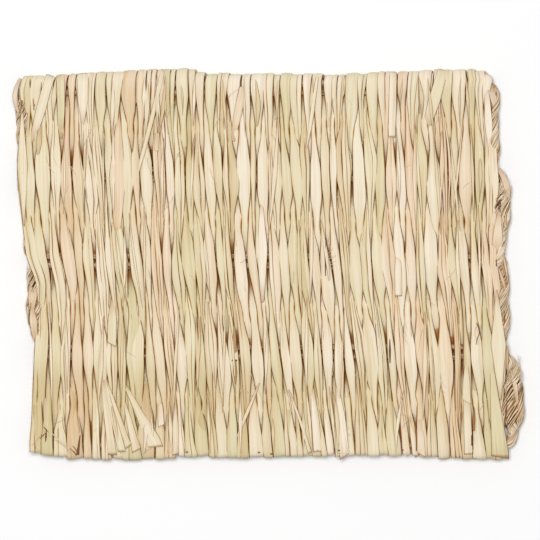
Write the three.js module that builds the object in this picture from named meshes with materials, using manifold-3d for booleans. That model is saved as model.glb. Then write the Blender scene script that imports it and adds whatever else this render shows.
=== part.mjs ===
// A small mat for a pet, woven from dried grass: flattened stalks folded over a twisted grass
// rope and woven over and under its rows. X runs along the rope rows, Y along the stalks and
// Z up. All sizes are in millimetres.
import * as THREE from "three";
import Module from "manifold-3d";

// The whole mat.
const THICKNESS = 10;
const MID_HEIGHT = THICKNESS / 2;

// The five rows in which the rope crosses under and over the stalks, from the folded edge down.
const ROW_COUNT = 5;
const FIRST_ROW_Y = 102.8;
const ROW_SPACING = 51.8;

// Each stalk shows two legs, and each leg stands in its own column.
const COLUMN_COUNT = 86;
const COLUMN_WOBBLE = 0.15;
const TIP_OVERLAP = 5;
const TIP_WOBBLE = 1.8;

// How high the crown of a leg lies over a rope row and at its tips, and how deep the groove is.
const CROWN_AT_TIP = 6.9;
const GROOVE_DEPTH = 1.7;
const CROSSING_HEIGHT = 6.6;
const CROWN_WOBBLE = 0.45;
const LEG_REACH = ROW_SPACING / 2 + TIP_OVERLAP;
const FACING_UP = { side: 1, parity: 0, shoulder: 0.68 };
const FACING_DOWN = { side: -1, parity: 1, shoulder: 0.45 };

// The folded edge and the cut edge.
const FOLD_HEIGHT = 7.7;
const CUT_HEIGHT = 7.4;
const RIM_BULGE = 1.1;
const FOLD_NOTCH = 0.9;
const CUT_WOBBLE = 1.3;

// The rope is squeezed slim inside a row and swells in its turns beside the mat.
const ROPE_SIDES = 8;
const ROW_ROPE_RADIUS = 2.1;
const LANE_OFFSET = 2.6;
const ROW_SHIFT = [-3.2, 0, 0, 0, 1.6];
const ROPE_GAP = 0.3;
const TURN_STEP = 2.6;
const TURN_CORNER = 5;
const CROSSING_LIFT = 2.4;
const TWIST_PITCH = 24;
const PLY_GROOVE = 0.26;
const END_INSET = 9;

// Legs that are plainly wider than the others, by their column.
const WIDE_LEGS = [
  { column: 3, factor: 1.35 },
  { column: 17, factor: 1.55 },
  { column: 38, factor: 1.3 },
  { column: 61, factor: 1.25 },
  { column: 74, factor: 1.3 },
];

// The woven grass without the rope: its two side edges, from the folded edge down.
const LEFT_EDGE = [
  { y: 108, x: -139.5 },
  { y: 96, x: -137 },
  { y: 86, x: -135.6 },
  { y: 58, x: -135.4 },
  { y: 40, x: -133.6 },
  { y: 8, x: -133.2 },
  { y: -12, x: -129.4 },
  { y: -46, x: -129 },
  { y: -60, x: -127.2 },
  { y: -98, x: -127 },
  { y: -108, x: -131 },
];
const RIGHT_EDGE = [
  { y: 108, x: 122.5 },
  { y: 100, x: 124 },
  { y: 92, x: 122.8 },
  { y: 62, x: 123.2 },
  { y: 48, x: 127 },
  { y: 8, x: 127 },
  { y: -6, x: 125.5 },
  { y: -24, x: 128.6 },
  { y: -50, x: 131.5 },
  { y: -74, x: 131 },
  { y: -94, x: 132 },
  { y: -104, x: 135.5 },
  { y: -110, x: 136 },
];

// The folded edge and the cut edge, by the share of the way from left to right.
const FOLDED_EDGE = [
  { x: 0, y: 105.4 },
  { x: 0.09, y: 106.8 },
  { x: 0.17, y: 108.5 },
  { x: 0.34, y: 110.6 },
  { x: 0.38, y: 107.8 },
  { x: 0.66, y: 107 },
  { x: 0.8, y: 108.6 },
  { x: 0.96, y: 110.6 },
  { x: 1, y: 104.5 },
];
const CUT_EDGE = [
  { x: 0, y: -107 },
  { x: 0.06, y: -109 },
  { x: 0.12, y: -110 },
  { x: 0.25, y: -109.6 },
  { x: 0.31, y: -107.8 },
  { x: 0.4, y: -109 },
  { x: 0.6, y: -107.8 },
  { x: 0.78, y: -108 },
  { x: 0.88, y: -110 },
  { x: 1, y: -110.4 },
];

// The rope's runs in order, with the row of each and its lane: 1 is the upper one, -1 the lower.
const ROPE_RUNS = [
  { row: 0, lane: 1 },
  { row: 1, lane: 1 },
  { row: 2, lane: 1 },
  { row: 3, lane: 1 },
  { row: 4, lane: 0 },
  { row: 3, lane: -1 },
  { row: 2, lane: -1 },
  { row: 1, lane: -1 },
  { row: 0, lane: -1 },
];

// The turn after each run: how far out it reaches, its radius, how far its middle bows outwards,
// and whether it passes over (1) or under (-1) another turn as it starts.
const ROPE_TURNS = [
  { reach: 130.8, radius: 3.4, bow: 0, lift: 0 },
  { reach: 140.8, radius: 2.9, bow: 0, lift: -1 },
  { reach: 136.6, radius: 3.1, bow: 0.6, lift: -1 },
  { reach: 134.4, radius: 3, bow: 0, lift: -1 },
  { reach: 143.2, radius: 4.6, bow: 0.6, lift: 0 },
  { reach: 137.2, radius: 3.3, bow: 0, lift: 1 },
  { reach: 136.8, radius: 3.9, bow: -0.4, lift: 1 },
  { reach: 143.6, radius: 3.3, bow: 0, lift: 1 },
];

// The value at a place in a table with a key column and a value column, in straight steps.
function readTable(table, key, value, at) {
  const rising = table[0][key] < table[table.length - 1][key];
  const rows = rising ? table : [...table].reverse();
  if (at <= rows[0][key]) {
    return rows[0][value];
  }
  for (let i = 1; i < rows.length; i += 1) {
    if (at <= rows[i][key]) {
      const share = (at - rows[i - 1][key]) / (rows[i][key] - rows[i - 1][key]);
      return rows[i - 1][value] + share * (rows[i][value] - rows[i - 1][value]);
    }
  }
  return rows[rows.length - 1][value];
}

// The share of the way across the mat at which each column stands.
function columnShares() {
  const widths = [];
  for (let column = 0; column < COLUMN_COUNT; column += 1) {
    const wobble = Math.sin(2.3 * column + 0.7) + 0.8 * Math.sin(5.1 * column + 2);
    widths.push(1 + COLUMN_WOBBLE * wobble);
  }
  for (const leg of WIDE_LEGS) {
    widths[leg.column - 1] *= leg.factor;
    widths[leg.column] *= leg.factor;
  }
  const total = widths.reduce((sum, width) => sum + width, 0);
  const shares = [0];
  for (const width of widths) {
    shares.push(shares[shares.length - 1] + width / total);
  }
  return shares;
}

const COLUMN_SHARES = columnShares();

function rowY(row) {
  return FIRST_ROW_Y - row * ROW_SPACING;
}

// The place across the mat of a share of its width, at a height along the stalks.
function acrossAt(share, y) {
  const left = readTable(LEFT_EDGE, "y", "x", y);
  const right = readTable(RIGHT_EDGE, "y", "x", y);
  return left + share * (right - left);
}

// The height of a leg's crown over its rope row: a cosine arch down to its tips.
function crownHeight(along) {
  const arch = Math.cos((Math.PI / 2) * Math.min(Math.abs(along) / LEG_REACH, 1)) ** 2;
  return CROWN_AT_TIP + (THICKNESS - CROWN_AT_TIP) * arch;
}

// One face of the woven panel: legs laid like long, pointed bricks, with grooves between them.
// The face below has the same legs a column further on, upside down.
class WovenFace {
  constructor(face, points, triangles) {
    this.face = face;
    this.points = points;
    this.triangles = triangles;
    this.named = new Map();
  }

  heightOf(z) {
    return this.face.side > 0 ? z : THICKNESS - z;
  }

  add(x, y, z) {
    this.points.push([x, y, this.heightOf(z)]);
    return this.points.length - 1;
  }

  // A point that neighbouring legs share, made once.
  shared(name, make) {
    if (!this.named.has(name)) {
      this.named.set(name, this.add(...make()));
    }
    return this.named.get(name);
  }

  // The point between two rows where a leg ends in one column and its neighbours part.
  crossing(column, interval) {
    return this.shared(`crossing ${column} ${interval}`, () => {
      const ends = (column + interval + this.face.parity) % 2 === 0 ? 1 : -1;
      const wobble = TIP_WOBBLE * Math.sin(3.7 * column + 2.1 * interval + this.face.parity);
      const y = rowY(interval) - ROW_SPACING / 2 - ends * TIP_OVERLAP + wobble;
      return [acrossAt(COLUMN_SHARES[column], y), y, CROSSING_HEIGHT];
    });
  }

  // The groove between two legs where they lie side by side over a rope row.
  grooveMiddle(column, row) {
    return this.shared(`groove ${column} ${row}`, () => {
      const y = rowY(row);
      return [acrossAt(COLUMN_SHARES[column], y), y, THICKNESS - GROOVE_DEPTH];
    });
  }

  // A point of the folded edge, which is notched between two folds.
  foldPoint(column) {
    return this.shared(`fold ${column}`, () => {
      const share = COLUMN_SHARES[column];
      const notch = column % 2 === 1 ? FOLD_NOTCH : 0;
      const bump = 0.5 * Math.sin(2.9 * column);
      const y = readTable(FOLDED_EDGE, "x", "y", share) - notch - RIM_BULGE + bump;
      return [acrossAt(share, y), y, FOLD_HEIGHT];
    });
  }

  // A point of the cut edge, where the stalks end unevenly.
  cutPoint(column) {
    return this.shared(`cut ${column}`, () => {
      const share = COLUMN_SHARES[column];
      const uneven = CUT_WOBBLE * Math.sin(2.2 * column + 1) * Math.sin(0.9 * column);
      const y = readTable(CUT_EDGE, "x", "y", share) + uneven;
      return [acrossAt(share, y), y, CUT_HEIGHT];
    });
  }

  above(column, row) {
    return row === 0 ? this.foldPoint(column) : this.crossing(column, row - 1);
  }

  below(column, row) {
    return row === ROW_COUNT - 1 ? this.cutPoint(column) : this.crossing(column, row);
  }

  triangle(a, b, c) {
    this.triangles.push(this.face.side > 0 ? [a, b, c] : [a, c, b]);
  }

  // One leg over one rope row: an outline of shared groove points and a raised ring inside it.
  leg(column, row) {
    const onLeft = column === 0;
    const onRight = column === COLUMN_COUNT;
    const outline = [this.above(column, row)];
    if (!onLeft) {
      outline.push(this.above(column - 1, row));
      outline.push(this.grooveMiddle(column - 1, row));
      outline.push(this.below(column - 1, row));
    } else {
      outline.push(this.grooveMiddle(column, row));
    }
    outline.push(this.below(column, row));
    if (!onRight) {
      outline.push(this.below(column + 1, row));
      outline.push(this.grooveMiddle(column + 1, row));
      outline.push(this.above(column + 1, row));
    } else {
      outline.push(this.grooveMiddle(column, row));
    }
    this.raise(outline, column, row);
  }

  raise(outline, column, row) {
    const middleY = rowY(row);
    const share = COLUMN_SHARES[column];
    const inwards = column === 0 ? 0.45 : column === COLUMN_COUNT ? -0.45 : 0;
    const next = COLUMN_SHARES[column + Math.sign(inwards)];
    const middleShare = share + Math.abs(inwards) * (next - share);
    const lower = CROWN_WOBBLE * (0.5 + 0.5 * Math.sin(4.3 * column + 1.9 * row));
    const tips = [outline[0], this.below(column, row)];
    const ring = [];
    for (const index of outline) {
      const [x, y] = this.points[index];
      const along = y - middleY;
      const isTip = tips.includes(index);
      const isMiddle = Math.abs(along) < 1e-9;
      if (isMiddle && this.face.side < 0) {
        ring.push(ring[ring.length - 1]);
        continue;
      }
      const alongShare = isTip ? 0.86 : this.face.shoulder;
      const inY = middleY + alongShare * along;
      const middleX = acrossAt(middleShare, inY);
      const acrossShare = isTip ? 0 : isMiddle ? 0.66 : 0.56;
      const inX = middleX + acrossShare * (x - acrossAt(middleShare, y));
      ring.push(this.add(inX, inY, this.crown(inY - middleY, isTip, lower)));
    }
    for (let i = 0; i < outline.length; i += 1) {
      const j = (i + 1) % outline.length;
      this.triangle(outline[i], outline[j], ring[j]);
      if (ring[i] !== ring[j]) {
        this.triangle(outline[i], ring[j], ring[i]);
      }
    }
    this.fill([...new Set(ring)]);
  }

  // The underside's crowns are flat where the mat rests.
  crown(along, isTip, lower) {
    if (this.face.side < 0 && !isTip) {
      return THICKNESS;
    }
    return crownHeight(along) - lower;
  }

  // The flat-topped strip inside a ring, zigzagging down from its upper tip.
  fill(ring) {
    let left = 1;
    let right = ring.length - 1;
    this.triangle(ring[0], ring[left], ring[right]);
    while (right - left > 1) {
      if (ring.length - right <= left) {
        this.triangle(ring[left], ring[right - 1], ring[right]);
        right -= 1;
      } else {
        this.triangle(ring[left], ring[left + 1], ring[right]);
        left += 1;
      }
    }
  }

  legs() {
    for (let row = 0; row < ROW_COUNT; row += 1) {
      for (let column = 0; column <= COLUMN_COUNT; column += 1) {
        if ((column + row + this.face.parity) % 2 === 0) {
          this.leg(column, row);
        }
      }
    }
  }

  // The face's whole edge, anticlockwise seen from above, with the way out at each point.
  edge() {
    const points = [];
    for (let column = COLUMN_COUNT; column >= 0; column -= 1) {
      points.push({ index: this.foldPoint(column), out: [0, 1] });
    }
    for (let row = 0; row < ROW_COUNT; row += 1) {
      points.push({ index: this.grooveMiddle(0, row), out: [-0.5, 0] });
      points.push({ index: this.below(0, row), out: [-0.5, 0] });
    }
    for (let column = 1; column <= COLUMN_COUNT; column += 1) {
      points.push({ index: this.cutPoint(column), out: [0, -0.3] });
    }
    for (let row = ROW_COUNT - 1; row >= 0; row -= 1) {
      points.push({ index: this.grooveMiddle(COLUMN_COUNT, row), out: [0.5, 0] });
      if (row > 0) {
        points.push({ index: this.above(COLUMN_COUNT, row), out: [0.5, 0] });
      }
    }
    return points;
  }
}

// Joins the two faces' edges through a middle line that bulges outwards.
function closeRim(upper, lower, points, triangles) {
  const top = upper.edge();
  const bottom = lower.edge();
  const middle = top.map((point, i) => {
    const a = points[point.index];
    const b = points[bottom[i].index];
    const x = (a[0] + b[0]) / 2 + RIM_BULGE * point.out[0];
    const y = (a[1] + b[1]) / 2 + RIM_BULGE * point.out[1];
    points.push([x, y, MID_HEIGHT]);
    return points.length - 1;
  });
  for (let i = 0; i < top.length; i += 1) {
    const j = (i + 1) % top.length;
    triangles.push([top[i].index, middle[i], middle[j]]);
    triangles.push([top[i].index, middle[j], top[j].index]);
    triangles.push([middle[i], bottom[i].index, bottom[j].index]);
    triangles.push([middle[i], bottom[j].index, middle[j]]);
  }
}

function wovenPanel() {
  const points = [];
  const triangles = [];
  const upper = new WovenFace(FACING_UP, points, triangles);
  const lower = new WovenFace(FACING_DOWN, points, triangles);
  upper.legs();
  lower.legs();
  closeRim(upper, lower, points, triangles);
  return { points, triangles };
}

function laneY(run) {
  return rowY(run.row) + ROW_SHIFT[run.row] + run.lane * LANE_OFFSET;
}

// The middle line of one turn, from inside one row to inside the next.
function turnCurve(turn, side, startY, endY) {
  const middleX = side * (turn.reach - turn.radius);
  const way = Math.sign(endY - startY);
  const cut = 0.3 * TURN_CORNER;
  const raised = MID_HEIGHT + turn.lift * CROSSING_LIFT;
  const inX = middleX - side * TURN_CORNER;
  const nearX = middleX - side * cut;
  const bowX = middleX + side * turn.bow;
  const middleZ = Math.max(MID_HEIGHT, turn.radius + 0.5);
  return new THREE.CatmullRomCurve3([
    new THREE.Vector3(inX, startY, MID_HEIGHT + turn.lift * 0.4),
    new THREE.Vector3(nearX, startY + way * cut, raised),
    new THREE.Vector3(middleX, startY + way * TURN_CORNER, raised),
    new THREE.Vector3(bowX, startY + 0.4 * (endY - startY), middleZ),
    new THREE.Vector3(bowX, startY + 0.62 * (endY - startY), middleZ),
    new THREE.Vector3(middleX, endY - way * TURN_CORNER, MID_HEIGHT),
    new THREE.Vector3(nearX, endY - way * cut, MID_HEIGHT),
    new THREE.Vector3(inX, endY, MID_HEIGHT),
  ]);
}

// How far a turn has swollen from the rope's slim width in a row, from 0 to 1.
function swelling(fromStart, fromEnd, lift) {
  const slimStart = lift === 0 ? 2 : 9;
  const start = THREE.MathUtils.smoothstep(fromStart, slimStart, slimStart + 8);
  const end = THREE.MathUtils.smoothstep(fromEnd, 2, 10);
  return Math.min(start, end);
}

// The rope's stations, from its first end to its last: place, radius, ply groove and twist.
function ropeStations() {
  const stations = [];
  let twist = 0;
  const firstY = laneY(ROPE_RUNS[0]);
  const firstX = acrossAt(0, firstY) + END_INSET;
  stations.push({ at: new THREE.Vector3(firstX, firstY, MID_HEIGHT), swell: 0, radius: 0, twist });
  ROPE_TURNS.forEach((turn, i) => {
    const side = i % 2 === 0 ? 1 : -1;
    const curve = turnCurve(turn, side, laneY(ROPE_RUNS[i]), laneY(ROPE_RUNS[i + 1]));
    const length = curve.getLength();
    const steps = Math.ceil(length / TURN_STEP);
    for (let step = 0; step <= steps; step += 1) {
      const gone = (length * step) / steps;
      const swell = swelling(gone, length - gone, turn.lift);
      stations.push({ at: curve.getPointAt(step / steps), swell, radius: turn.radius, twist });
      twist += step < steps ? (2 * Math.PI * length) / steps / TWIST_PITCH : 0;
    }
  });
  const lastY = laneY(ROPE_RUNS[ROPE_RUNS.length - 1]);
  const lastX = acrossAt(1, lastY) - END_INSET;
  stations.push({ at: new THREE.Vector3(lastX, lastY, MID_HEIGHT), swell: 0, radius: 0, twist });
  return stations;
}

// Carries the two-ply section along the stations. The section turns with the twist, and its two
// grooves deepen as the rope swells.
function ropeSolid(stations, grow) {
  const points = [];
  const triangles = [];
  const up = new THREE.Vector3(0, 0, 1);
  stations.forEach((station, i) => {
    const before = stations[Math.max(i - 1, 0)].at;
    const after = stations[Math.min(i + 1, stations.length - 1)].at;
    const toBefore = station.at.clone().sub(before).normalize();
    const toAfter = after.clone().sub(station.at).normalize();
    const along = toBefore.add(toAfter).normalize();
    const across = new THREE.Vector3().crossVectors(up, along).normalize();
    const over = new THREE.Vector3().crossVectors(along, across);
    const radius = ROW_ROPE_RADIUS + station.swell * (station.radius - ROW_ROPE_RADIUS);
    for (let side = 0; side < ROPE_SIDES; side += 1) {
      const angle = (2 * Math.PI * side) / ROPE_SIDES;
      const groove = station.swell * PLY_GROOVE * Math.sin(angle) ** 2;
      const out = radius * (1 - groove) + grow;
      const point = station.at.clone();
      point.addScaledVector(across, out * Math.cos(angle + station.twist));
      point.addScaledVector(over, out * Math.sin(angle + station.twist));
      points.push(point.toArray());
    }
  });
  for (let i = 0; i + 1 < stations.length; i += 1) {
    for (let side = 0; side < ROPE_SIDES; side += 1) {
      const next = (side + 1) % ROPE_SIDES;
      const a = i * ROPE_SIDES + side;
      const b = i * ROPE_SIDES + next;
      triangles.push([a, b, b + ROPE_SIDES]);
      triangles.push([a, b + ROPE_SIDES, a + ROPE_SIDES]);
    }
  }
  const last = points.length - ROPE_SIDES;
  for (let side = 1; side + 1 < ROPE_SIDES; side += 1) {
    triangles.push([0, side + 1, side]);
    triangles.push([last, last + side, last + side + 1]);
  }
  return { points, triangles };
}

function toManifold(wasm, shape) {
  const mesh = new wasm.Mesh({
    numProp: 3,
    vertProperties: new Float32Array(shape.points.flat()),
    triVerts: new Uint32Array(shape.triangles.flat()),
  });
  return new wasm.Manifold(mesh);
}

function toGeometry(solid) {
  const mesh = solid.getMesh();
  const geometry = new THREE.BufferGeometry();
  geometry.setAttribute("position", new THREE.BufferAttribute(mesh.vertProperties, 3));
  geometry.setIndex(new THREE.BufferAttribute(mesh.triVerts, 1));
  geometry.computeVertexNormals();
  return geometry;
}

const wasm = await Module();
wasm.setup();

const stations = ropeStations();
const halfWay = Math.floor(stations.length / 2);
const wayDown = stations.slice(0, halfWay + 2);
const wayBack = stations.slice(halfWay - 2);
const rope = toManifold(wasm, ropeSolid(stations, 0));
const pierced = toManifold(wasm, wovenPanel())
  .subtract(toManifold(wasm, ropeSolid(wayDown, ROPE_GAP)))
  .subtract(toManifold(wasm, ropeSolid(wayBack, ROPE_GAP)));

// A shred that a channel cuts loose at the mat's side is left out.
const panel = pierced.decompose().sort((a, b) => b.volume() - a.volume())[0];

const grass = new THREE.MeshStandardMaterial({
  name: "dried_grass",
  color: "#dfcfa8",
  roughness: 0.75,
  metalness: 0,
  flatShading: true,
});
const twistedGrass = new THREE.MeshStandardMaterial({
  name: "twisted_grass_rope",
  color: "#cdb98f",
  roughness: 0.85,
  metalness: 0,
  flatShading: true,
});

const group = new THREE.Group();
const pieces = [
  { name: "woven_grass_panel", solid: panel, material: grass },
  { name: "grass_rope", solid: rope, material: twistedGrass },
];
for (const piece of pieces) {
  const mesh = new THREE.Mesh(toGeometry(piece.solid), piece.material);
  mesh.name = piece.name;
  group.add(mesh);
}

// The origin is under the middle of the whole mat's box.
const box = new THREE.Box3().setFromObject(group);
const middle = box.getCenter(new THREE.Vector3());
for (const mesh of group.children) {
  mesh.geometry.translate(-middle.x, -middle.y, -box.min.z);
}

export default group;
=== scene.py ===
import bpy
import numpy as np
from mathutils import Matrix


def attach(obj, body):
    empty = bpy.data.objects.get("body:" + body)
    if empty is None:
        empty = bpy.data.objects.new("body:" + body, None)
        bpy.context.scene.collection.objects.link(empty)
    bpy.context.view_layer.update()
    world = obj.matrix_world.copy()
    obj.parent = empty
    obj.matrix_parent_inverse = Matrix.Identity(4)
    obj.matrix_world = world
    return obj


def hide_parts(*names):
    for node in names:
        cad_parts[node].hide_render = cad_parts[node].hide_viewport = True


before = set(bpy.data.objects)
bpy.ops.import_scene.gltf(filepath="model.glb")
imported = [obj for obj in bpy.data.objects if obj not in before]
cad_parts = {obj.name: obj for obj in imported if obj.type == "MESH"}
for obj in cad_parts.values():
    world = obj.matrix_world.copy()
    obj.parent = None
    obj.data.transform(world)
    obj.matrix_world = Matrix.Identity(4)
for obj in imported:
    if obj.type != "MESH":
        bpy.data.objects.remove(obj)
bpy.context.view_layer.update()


# The rope: one length of dried grass fibres, loosely twisted. It runs to and fro in five rows
# inside the weave, and turns outside the mat's two side edges, where it swells again.
ROWS = 5
ROW_SPACING = 51.8  # sizes here are in millimetres
FIRST_ROW_Y = 103.4
LAST_ROW_Y = FIRST_ROW_Y - (ROWS - 1) * ROW_SPACING
MIDDLE_Z = 5.0
ROPE_RADIUS = 2.1
TWIST_PER_RADIUS = 11.0
LANE_OFFSET = 2.6
ROPE_START_X = -131.0
ROPE_END_X = 117.0
TURN_CORNER = 5.0
CROSSING_LIFT = 2.4
ROW_SHIFT = np.array([-3.2, 0.0, 2.5, 3.0, 1.6])
ROPE_RUNS = [(0, 1), (1, 1), (2, 1), (3, 1), (4, 0), (3, -1), (2, -1), (1, -1), (0, -1)]
# Each turn: how far out it reaches, its radius, how far its middle bows out, whether it starts
# over (above 0) or under (-1) another turn, its height in the middle, in what length it swells at
# its start and its end, and how much further in its start lies. At the left, stalks cover the
# turns from row 2 to 3 and from 4 to 5, and most of the one at the top.
ROPE_TURNS = [
    (130.2, 2.6, 0, 0, 5, 10, 12, 0), (138.6, 2.4, 0, -1, 3, 17, 10, 0),
    (135.4, 3.3, 0.2, -1, 5, 8, 15, 0), (131.8, 2.2, 0, -1, 2.8, 17, 10, 0),
    (142.6, 4.9, 0.4, 0, 5.1, 19, 22, 0), (136.2, 3.3, 0, 0.6, 5, 24, 9, 4.5),
    (136.4, 4.1, -0.2, 1, 5, 36, 16, 1.5), (142.4, 3, 0, 1, 5, 38, 12, 0),
]
TURN_POINTS = 16
TURN_STEP = 0.9
ROW_STEP = 6.0
SHORTEST_ROW = 30
STRANDS = 21
ROPE_POINTS_AROUND = 84
INSIDE_X = 127


def linear(hex_colour):
    """The linear colour of an sRGB hex value, with alpha 1."""
    value = np.array([int(hex_colour[i:i + 2], 16) for i in (1, 3, 5)]) / 255
    value = np.where(value <= 0.04045, value / 12.92, ((value + 0.055) / 1.055) ** 2.4)
    return (*value.tolist(), 1.0)


def add_node(tree, kind, settings=None, links=None):
    """A node with its settings (a property's name, or a socket's number or name) and links. The
    setting "stops" gives a ramp's stops as (place, hex colour).
    """
    node = tree.nodes.new(kind)
    for key, value in (settings or {}).items():
        if key == "stops":
            elements = node.color_ramp.elements
            while len(elements) < len(value):
                elements.new(0.5)
            for element, (place, colour) in zip(elements, value):
                element.position = place
                element.color = linear(colour)
        elif isinstance(key, str) and hasattr(node, key):
            setattr(node, key, value)
        else:
            node.inputs[key].default_value = value
    for key, source in (links or {}).items():
        tree.links.new(source, node.inputs[key])
    return node


def grass_material(name, attributes, grains, layers, bump):
    """A material of grass, and the sockets that it reads, by name: point attributes, and grains.
    A grain is noise drawn out along the strips, and has the number of its grains in a millimetre
    across and along, and its detail. The colour is the first layer's ramp, multiplied by the
    others' by their amounts. A layer has what it reads, its amount and its stops, and the bump
    the grain that it follows, its strength and its depth in metres.
    """
    material = bpy.data.materials.new(name)
    material.use_nodes = True
    tree = material.node_tree
    shader = tree.nodes["Principled BSDF"]
    uv = add_node(tree, "ShaderNodeUVMap", {"uv_map": "lengthwise"}).outputs[0]
    read = {
        key: add_node(tree, "ShaderNodeAttribute", {"attribute_name": key}).outputs["Fac"]
        for key in attributes
    }
    for key, across, along, detail in grains:
        place = add_node(tree, "ShaderNodeMapping", {3: (across, along, 1)}, {0: uv})
        settings = {"noise_dimensions": "2D", 2: 1.0, 3: detail}
        noise = add_node(tree, "ShaderNodeTexNoise", settings, {0: place.outputs[0]})
        read[key] = noise.outputs[0]
    ramps = [
        add_node(tree, "ShaderNodeValToRGB", {"stops": stops}, {0: read[key]}).outputs[0]
        for key, _, stops in layers
    ]
    colour = ramps[0]
    for (_, amount, _), ramp in zip(layers[1:], ramps[1:]):
        settings = {"data_type": "RGBA", "blend_type": "MULTIPLY", 0: amount}
        colour = add_node(tree, "ShaderNodeMix", settings, {6: colour, 7: ramp}).outputs[2]
    tree.links.new(colour, shader.inputs["Base Color"])
    grain, strength, depth = bump
    settings = {"Strength": strength, "Distance": depth}
    relief = add_node(tree, "ShaderNodeBump", settings, {"Height": read[grain]})
    tree.links.new(relief.outputs[0], shader.inputs["Normal"])
    return material, read


def unit(vectors):
    """Vectors of length one."""
    return vectors / np.maximum(np.linalg.norm(vectors, axis=-1, keepdims=True), 1e-9)


def smoothstep(low, high, value):
    """0 below low, 1 above high, and a smooth cubic between them."""
    t = np.clip((value - low) / (high - low), 0, 1)
    return t * t * (3 - 2 * t)


def new_object(name, data):
    """An object at the origin for a mesh, lamp or camera."""
    piece = bpy.data.objects.new(name, data)
    bpy.context.scene.collection.objects.link(piece)
    return piece


def strip_object(name, strip_sets, material):
    """A mesh object of closed strips. Each set of strips has its points [strip, station, around,
    xyz] in millimetres, joined in quads with a cap on each end, its UV map in millimetres
    (across, along), and its point attributes by name.
    """
    counts, faces, sides = [0], [], []
    for points, _, _ in strip_sets:
        strips, stations, around, _ = points.shape
        ring = counts[-1] + np.arange(strips * stations * around).reshape(strips, stations, around)
        after = np.roll(ring, -1, axis=2)
        quads = np.stack([ring[:, :-1], after[:, :-1], after[:, 1:], ring[:, 1:]], axis=-1)
        caps = np.concatenate([ring[:, 0, ::-1], ring[:, -1]])
        faces += [quads.ravel(), caps.ravel()]
        sides += [np.full(quads.size // 4, 4), np.full(len(caps), around)]
        counts.append(counts[-1] + ring.size)
    corners, sizes = np.concatenate(faces), np.concatenate(sides)
    mesh = bpy.data.meshes.new(name)
    mesh.vertices.add(counts[-1])
    places = np.concatenate([points.reshape(-1, 3) for points, _, _ in strip_sets])
    mesh.vertices.foreach_set("co", (places * 0.001).astype(np.float32).ravel())
    mesh.loops.add(len(corners))
    mesh.loops.foreach_set("vertex_index", corners.astype(np.int32))
    mesh.polygons.add(len(sizes))
    mesh.polygons.foreach_set("loop_start", (np.cumsum(sizes) - sizes).astype(np.int32))
    mesh.polygons.foreach_set("use_smooth", sizes == 4)
    chart_places = np.concatenate([
        np.stack(np.broadcast_arrays(*uv), axis=-1).reshape(-1, 2) for _, uv, _ in strip_sets])
    chart = mesh.uv_layers.new(name="lengthwise")
    chart.data.foreach_set("uv", chart_places[corners].astype(np.float32).ravel())
    for attribute in strip_sets[0][2]:
        whole = [
            np.broadcast_to(values[attribute], points.shape[:3]).ravel()
            for points, _, values in strip_sets]
        store = mesh.attributes.new(attribute, "FLOAT", "POINT")
        store.data.foreach_set("value", np.concatenate(whole).astype(np.float32))
    mesh.update(calc_edges=True)
    mesh.validate()
    mesh.materials.append(material)
    return new_object(name, mesh)


def through(points, steps):
    """A centripetal Catmull-Rom curve through points: between two of them a cubic whose slopes
    are weighted by the square roots of the gaps.
    """
    whole = np.vstack([2 * points[0] - points[1], points, 2 * points[-1] - points[-2]])
    gap = np.linalg.norm(np.diff(whole, axis=0), axis=1)[:, None] ** 0.5
    before, start, end, beyond = whole[:-3], whole[1:-2], whole[2:-1], whole[3:]
    first, own, last = gap[:-2], gap[1:-1], gap[2:]
    leave = own * ((start - before) / first - (end - before) / (first + own)) + end - start
    reach = end - start + own * ((beyond - end) / last - (beyond - start) / (own + last))
    t = np.linspace(0, 1, steps, endpoint=False)[None, :, None]
    curve = (
        (2 * t**3 - 3 * t**2 + 1) * start[:, None] + (t**3 - 2 * t**2 + t) * leave[:, None]
        + (3 * t**2 - 2 * t**3) * end[:, None] + (t**3 - t**2) * reach[:, None]
    )
    return np.vstack([curve.reshape(-1, 3), points[-1:]])


def lane_y(run):
    """The y of a run of the rope: its row's y, the row's shift and its lane's offset."""
    row, lane = run
    return FIRST_ROW_Y - row * ROW_SPACING + ROW_SHIFT[row] + lane * LANE_OFFSET


def turn_line(number):
    """The middle line of a turn and how much it has swollen at each point, from 0 to 1."""
    reach, radius, bow, lift, height, start_swell, end_swell, inset = ROPE_TURNS[number]
    side = 1 if number % 2 == 0 else -1
    start, end = lane_y(ROPE_RUNS[number]), lane_y(ROPE_RUNS[number + 1])
    way = np.sign(end - start)
    middle_x = side * (reach - radius)
    near_x = middle_x - side * 0.3 * TURN_CORNER
    inset = inset * side
    raised = MIDDLE_Z + lift * CROSSING_LIFT
    line = through(np.array([
        (middle_x - inset - side * TURN_CORNER, start, MIDDLE_Z + 0.4 * lift),
        (near_x - inset, start + way * 0.3 * TURN_CORNER, raised),
        (middle_x - inset, start + way * TURN_CORNER, raised),
        (middle_x + side * bow, start + 0.4 * (end - start), height),
        (middle_x + side * bow, start + 0.62 * (end - start), height),
        (middle_x, end - way * TURN_CORNER, MIDDLE_Z),
        (near_x, end - way * 0.3 * TURN_CORNER, MIDDLE_Z),
        (middle_x - side * TURN_CORNER, end, MIDDLE_Z),
    ]), TURN_POINTS)
    gone = np.concatenate([[0], np.cumsum(np.linalg.norm(np.diff(line, axis=0), axis=1))])
    slim = 9 if lift > 0 else 2
    swell = np.minimum(
        smoothstep(slim, start_swell, gone), smoothstep(2, end_swell, gone[-1] - gone))
    return np.column_stack([line, swell, np.full(len(line), radius)])


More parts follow.
